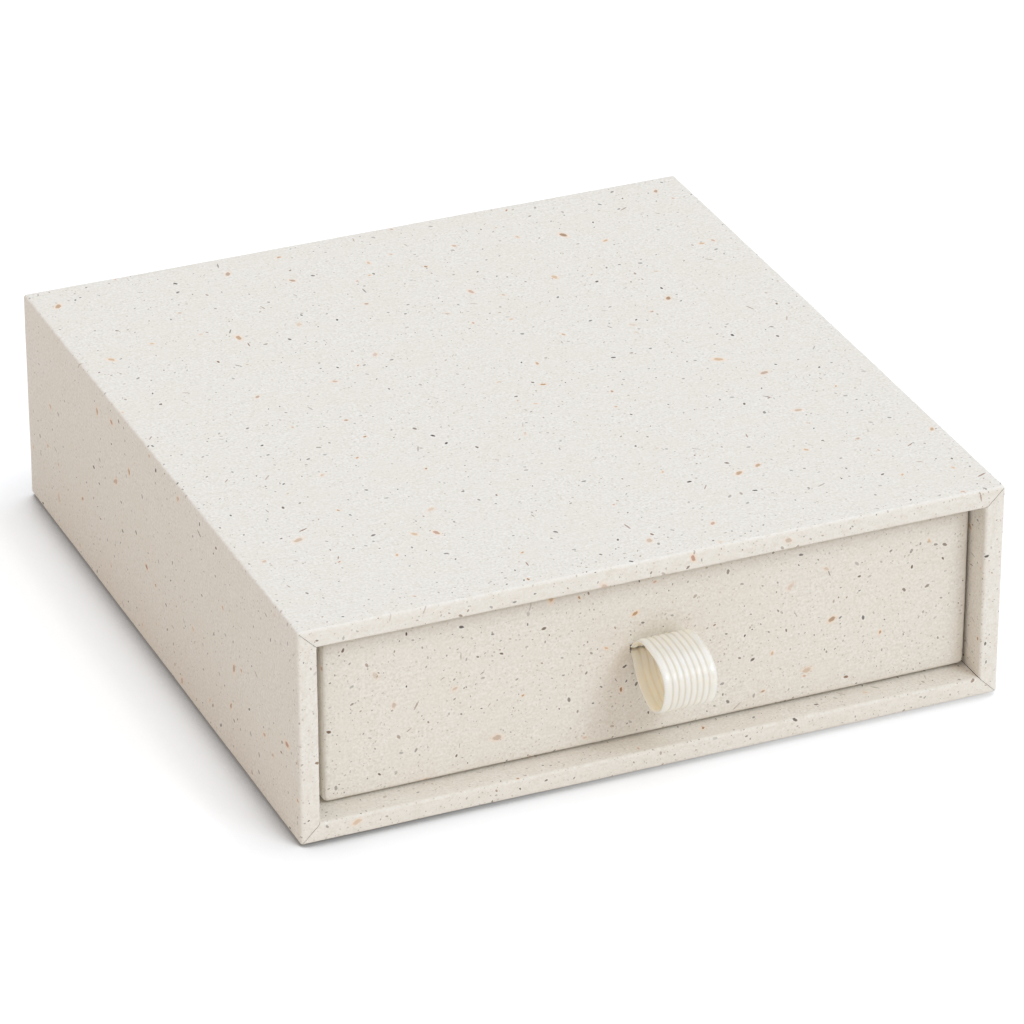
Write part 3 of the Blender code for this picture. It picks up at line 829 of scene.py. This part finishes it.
def drawer_wrap():
    """The cross-shaped sheet round the drawer, parted at its four corners, with the ribbon's slot."""
    casing = drawer_casing()
    middle = ribbon_middle() - casing.place.translation.x
    slot = slot_level() - casing.place.translation.z
    half_slot = RIBBON_WIDTH / 2 + SLOT_CLEARANCE
    half_high = RIBBON_THICKNESS + RIBBON_GAP / 2 + SLOT_CLEARANCE
    across = (middle - half_slot, middle + half_slot)
    rise = (slot - half_high, slot + half_high)
    profile = side_profile(casing, rise)
    parted = [z > casing.rounding * 0.99 for _, z in profile]
    made = new_sheet()
    places = cross_places(casing)
    ends = []
    for turn in WALL_TURNS:
        is_front = turn == FRONT_TURN
        marks = across if is_front else ()
        hole = ((across[0], rise[0]), (across[1], rise[1])) if is_front else None
        ends += wall_faces(made, casing, turn, profile, parted, marks, hole, places)
    close_base(made, ends)
    settle(made, casing, DRAWER_WAVE)
    paper_piece("drawer_wrap_sheet", made, bpy.data.materials["drawer_paper"], "drawer", "drawer_wrap")


def close_base(made, ends):
    """Fills the drawer's underside, between the last rows of its four walls."""
    uv = made.loops.layers.uv[SHEET_UV]
    rim = []
    for vertex in ends:
        if not rim or (vertex.co - rim[-1].co).length > WELD_DISTANCE:
            rim.append(vertex)
    if (rim[0].co - rim[-1].co).length < WELD_DISTANCE:
        rim.pop()
    face = made.faces.new(rim[::-1])
    for loop in face.loops:
        loop[uv].uv = loop.vert.co.xy


def ribbon_middle():
    low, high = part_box("ribbon_pull")
    return (low.x + high.x) / 2


def slot_level():
    """The height of the slot's middle."""
    low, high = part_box("drawer_wrap")
    return (low.z + high.z) / 2 + PULL_RISE


def smooth_through(points, steps):
    """A smooth line through points, with steps spans between each two."""
    padded = [points[0]] + points + [points[-1]]
    line = []
    for before, here, there, after in zip(padded, padded[1:], padded[2:], padded[3:]):
        for step in range(steps):
            share = step / steps
            line.append(tuple(catmull_rom(*values, share) for values in zip(before, here, there, after)))
    return line + [points[-1]]


def catmull_rom(before, here, there, after, t):
    """A value on the smooth curve between here and there, with t from 0 to 1."""
    slope = (there - before) / 2
    bend = before - 5 * here / 2 + 2 * there - after / 2
    turn = 3 * (here - there) / 2 + (after - before) / 2
    return here + slope * t + bend * t * t + turn * t * t * t


def ribbon_line():
    """The ribbon's centre line as (y, z): a tail, out by the slot, the loop, back in, the other tail."""
    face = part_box("drawer_wrap")[0].y
    low, high = (corner.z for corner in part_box("ribbon_anchor_patch"))
    slot = slot_level()
    tail_y = face + drawer_casing().wall + GLUE + RIBBON_THICKNESS / 2
    run = (RIBBON_GAP + RIBBON_THICKNESS) / 2
    bend_end = run + RIBBON_BEND
    upper_end = high - TAIL_COVER - slot
    lower_end = low + TAIL_COVER - slot
    bend = arc((tail_y - RIBBON_BEND, bend_end), RIBBON_BEND, 0, -90, BEND_STEPS)
    enter = [(tail_y, z) for z in levels(upper_end, bend_end)] + bend[1:]
    leave = [(y, -z) for y, z in bend[::-1]] + [(tail_y, z) for z in levels(-bend_end, lower_end)][1:]
    half_run = (bend[-1][0] + face) / 2
    loop = [(face - along * LOOP_REACH, up * LOOP_HEIGHT) for along, up in LOOP_SHARES]
    loop = [(half_run, run), (face, run)] + loop + [(face, -run), (half_run, -run)]
    return [(y, slot + z) for y, z in enter + smooth_through(loop, LOOP_STEPS) + leave]


def outward(line):
    """Unit vectors square to the line's points, away from the loop's inside."""
    normals = []
    for before, after in zip([line[0]] + line[:-1], line[1:] + [line[-1]]):
        along = (after[0] - before[0], after[1] - before[1])
        length = math.hypot(*along)
        normals.append((along[1] / length, -along[0] / length))
    return normals


def ribbon_section():
    """Half the ribbon's thickness across its width, as (across, half): full bands, grooves between."""
    shares = [SELVEDGE_SHARE] + [1] * RIB_COUNT + [SELVEDGE_SHARE]
    unit = RIBBON_WIDTH / sum(shares)
    groove = RIBBON_GROOVE
    crest = RIBBON_THICKNESS / 2
    points = []
    start = -RIBBON_WIDTH / 2
    for share in shares:
        for step in range(RIB_STEPS):
            t = step / RIB_STEPS
            swell = math.sin(math.pi * t) ** RIB_FULLNESS
            points.append((start + share * unit * t, groove + (crest - groove) * swell))
        start += share * unit
    edge = groove * EDGE_SHARE
    points[0] = (points[0][0], edge)
    return points + [(RIBBON_WIDTH / 2, edge)]


def ribbon_strap():
    """The ribbon as one closed strap with ribbed faces: its outer face in satin, its inner face in a
    warmer, paler copy that paints a glow.
    """
    line = ribbon_line()
    normals = outward(line)
    section = ribbon_section()
    middle = ribbon_middle()
    run = [0.0]
    for here, there in zip(line, line[1:]):
        run.append(run[-1] + math.dist(here, there))
    made = bmesh.new()
    uv = made.loops.layers.uv.new(SHEET_UV)
    grids = []
    for side in (1, -1):
        grid = []
        for (y, z), (out_y, out_z) in zip(line, normals):
            grid.append([
                made.verts.new((middle + across, y + out_y * half * side, z + out_z * half * side))
                for across, half in section
            ])
        grids.append(grid)
    for side, grid in enumerate(grids):
        for i in range(len(line) - 1):
            for j in range(len(section) - 1):
                corners = [(i, j), (i, j + 1), (i + 1, j + 1), (i + 1, j)]
                if side:
                    corners.reverse()
                face = made.faces.new([grid[a][b] for a, b in corners])
                face.material_index = side
                for loop, (a, b) in zip(face.loops, corners):
                    loop[uv].uv = (section[b][0], run[a])
    close_edges(made, grids, section, run, uv)
    mesh = bpy.data.meshes.new("ribbon_strap")
    bmesh.ops.recalc_face_normals(made, faces=made.faces)
    made.to_mesh(mesh)
    made.free()
    # The inner face gets the warmer, paler satin: a painted glow
    mesh.materials.append(bpy.data.materials["ribbon_outside"])
    mesh.materials.append(bpy.data.materials["ribbon_inside_painted_glow"])
    mesh.shade_smooth()
    mesh.set_sharp_from_angle(angle=math.radians(RIBBON_SHARP_ANGLE))
    piece = add("ribbon_strap", mesh)
    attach(piece, "drawer")
    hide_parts("ribbon_pull")


def close_edges(made, grids, section, run, uv):
    """Closes the strap along its two selvedges and its two cut ends."""
    outer, inner = grids
    last = len(section) - 1
    for i in range(len(run) - 1):
        for j in (0, last):
            face = made.faces.new((outer[i][j], outer[i + 1][j], inner[i + 1][j], inner[i][j]))
            for loop, a in zip(face.loops, (i, i + 1, i + 1, i)):
                loop[uv].uv = (section[j][0], run[a])
    for i in (0, len(run) - 1):
        for j in range(last):
            face = made.faces.new((outer[i][j], outer[i][j + 1], inner[i][j + 1], inner[i][j]))
            for loop, b in zip(face.loops, (j, j + 1, j + 1, j)):
                loop[uv].uv = (section[b][0], run[i])


def make_materials():
    speckled_paper("sleeve_paper", sheet_place, 0.0, thicker_at_mouth)
    speckled_paper("drawer_paper", sheet_place, DRAWER_SHIFT, even)
    speckled_paper("back_paper", upright_place, BACK_SHIFT, even)
    speckled_paper("base_paper", object_place, BASE_SHIFT, even)
    plain_paper("raw_paper", RAW_PAPER, RAW_PAPER_DARK, RAW_FIBRE, 0.85)
    plain_paper("lining_paper", LINING_COLOUR, LINING_DARK, LINING_FIBRE, 0.80)
    greyboard()
    kraft_tape()
    satin("ribbon_outside", RIBBON_COLOUR, RIBBON_THREADS_AND_SHEEN, RIBBON_GROOVE_SHADE, 0.32)
    # The inner face's satin is a warmer, paler copy of the outer's: a painted glow of light through the
    # ribbon
    satin("ribbon_inside_painted_glow", RIBBON_INSIDE_PAINTED_GLOW, RIBBON_INSIDE_GLOW_THREADS_AND_SHEEN, RIBBON_INSIDE_GLOW_GROOVE_SHADE, 0.42)


def finish_for(name):
    """The name of the material that a CAD node gets."""
    if name in FINISHES:
        return FINISHES[name]
    if name.endswith("_board"):
        return "greyboard"
    if name.endswith("_tape"):
        return "kraft_tape"
    return "lining_paper"


def dress_nodes():
    """Gives every CAD node its material, also those that a finer piece stands for."""
    for name, part in NODES.items():
        for holder in part.material_slots:
            holder.material = bpy.data.materials[finish_for(name)]


def sun(name, came_from, strength, angle, colour):
    """A far lamp that shines from a direction, as broad in the sky as its angle in degrees."""
    data = bpy.data.lights.new(name, "SUN")
    data.energy = strength
    data.angle = math.radians(angle)
    data.color = colour
    lamp = add(name, data)
    lamp.rotation_euler = Vector(came_from).to_track_quat("Z", "Y").to_euler()


def seen_directly(tree):
    """1 where the camera sees a thing straight, or by reflection or through glass, and else 0."""
    path = node(tree, "ShaderNodeLightPath").outputs
    seen = maths(tree, "MAXIMUM", path["Is Camera Ray"], path["Is Glossy Ray"])
    return maths(tree, "MAXIMUM", seen, path["Is Transmission Ray"])


def studio_light():
    """A soft, even studio: a pale warm world, a cool lamp in front, and weaker ones overhead and right.

    Straight views see the world as plain white.
    """
    world = bpy.data.worlds.new("studio")
    bpy.context.scene.world = world
    world.use_nodes = True
    tree = world.node_tree
    tree.nodes.clear()
    lit = node(tree, "ShaderNodeBackground", {"Color": (*WORLD_LIGHT, 1.0), "Strength": 1.0})
    white = node(tree, "ShaderNodeBackground", {"Color": (1.0, 1.0, 1.0, 1.0), "Strength": 1.0})
    camera_ray = node(tree, "ShaderNodeLightPath").outputs["Is Camera Ray"]
    both = node(tree, "ShaderNodeMixShader", {0: camera_ray, 1: lit.outputs[0], 2: white.outputs[0]})
    node(tree, "ShaderNodeOutputWorld", {"Surface": both.outputs[0]})
    for name, (came_from, strength, angle, colour) in LAMPS.items():
        sun(name, came_from, strength, angle, colour)


def floor():
    """A pale floor that keeps the object's shadow and gives it its bounced light.

    Straight views see a paler floor, which darkens close to the object by how much of the sky is hidden
    there. That contact shadow fades from the object's left to its right.
    """
    mesh = bpy.data.meshes.new("floor")
    half = FLOOR_HALF
    corners = [(-half, -half), (half, -half), (half, half), (-half, half)]
    mesh.from_pydata([(x, y, -FLOOR_DROP) for x, y in corners], [], [(0, 1, 2, 3)])
    add("floor", mesh)
    made = bpy.data.materials.new("floor")
    made.use_nodes = True
    tree = made.node_tree
    tree.nodes.clear()
    bounce = node(tree, "ShaderNodeBsdfDiffuse", {"Color": (*FLOOR_BOUNCE, 1.0)})
    open_share = node(tree, "ShaderNodeAmbientOcclusion", {"Distance": CONTACT_REACH}).outputs["AO"]
    shade = palette(tree, open_share, [(place, grey(level)) for place, level in CONTACT_SHADES], "LINEAR")
    lit = node(tree, "ShaderNodeBsdfDiffuse", {"Color": grey(FLOOR_LIT_SHARE)})
    across = node(tree, "ShaderNodeSeparateXYZ", {"Vector": object_place(tree)}).outputs["X"]
    half_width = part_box("sleeve_wrap")[1].x
    deep = ranged(tree, across, -half_width, half_width, 1.0, CONTACT_FADE)
    contact = node(tree, "ShaderNodeEmission", {"Color": mixed(tree, deep, grey(OPEN_SHADE), shade)})
    pale = node(tree, "ShaderNodeAddShader", {0: lit.outputs[0], 1: contact.outputs[0]})
    seen = seen_directly(tree)
    both = node(tree, "ShaderNodeMixShader", {0: seen, 1: bounce.outputs[0], 2: pale.outputs[0]})
    node(tree, "ShaderNodeOutputMaterial", {"Surface": both.outputs[0]})
    mesh.materials.append(made)


def camera():
    data = bpy.data.cameras.new("camera")
    data.lens = CAMERA_LENS
    data.sensor_width = SENSOR
    data.clip_end = CAMERA_END
    view = add("camera", data)
    view.location = CAMERA_PLACE
    view.rotation_euler = [math.radians(angle) for angle in CAMERA_TURN]
    bpy.context.scene.camera = view


def main():
    bpy.context.scene.view_settings.view_transform = "Standard"
    camera()
    studio_light()
    floor()
    make_materials()
    dress_nodes()
    sleeve_wrap()
    drawer_wrap()
    ribbon_strap()


main()
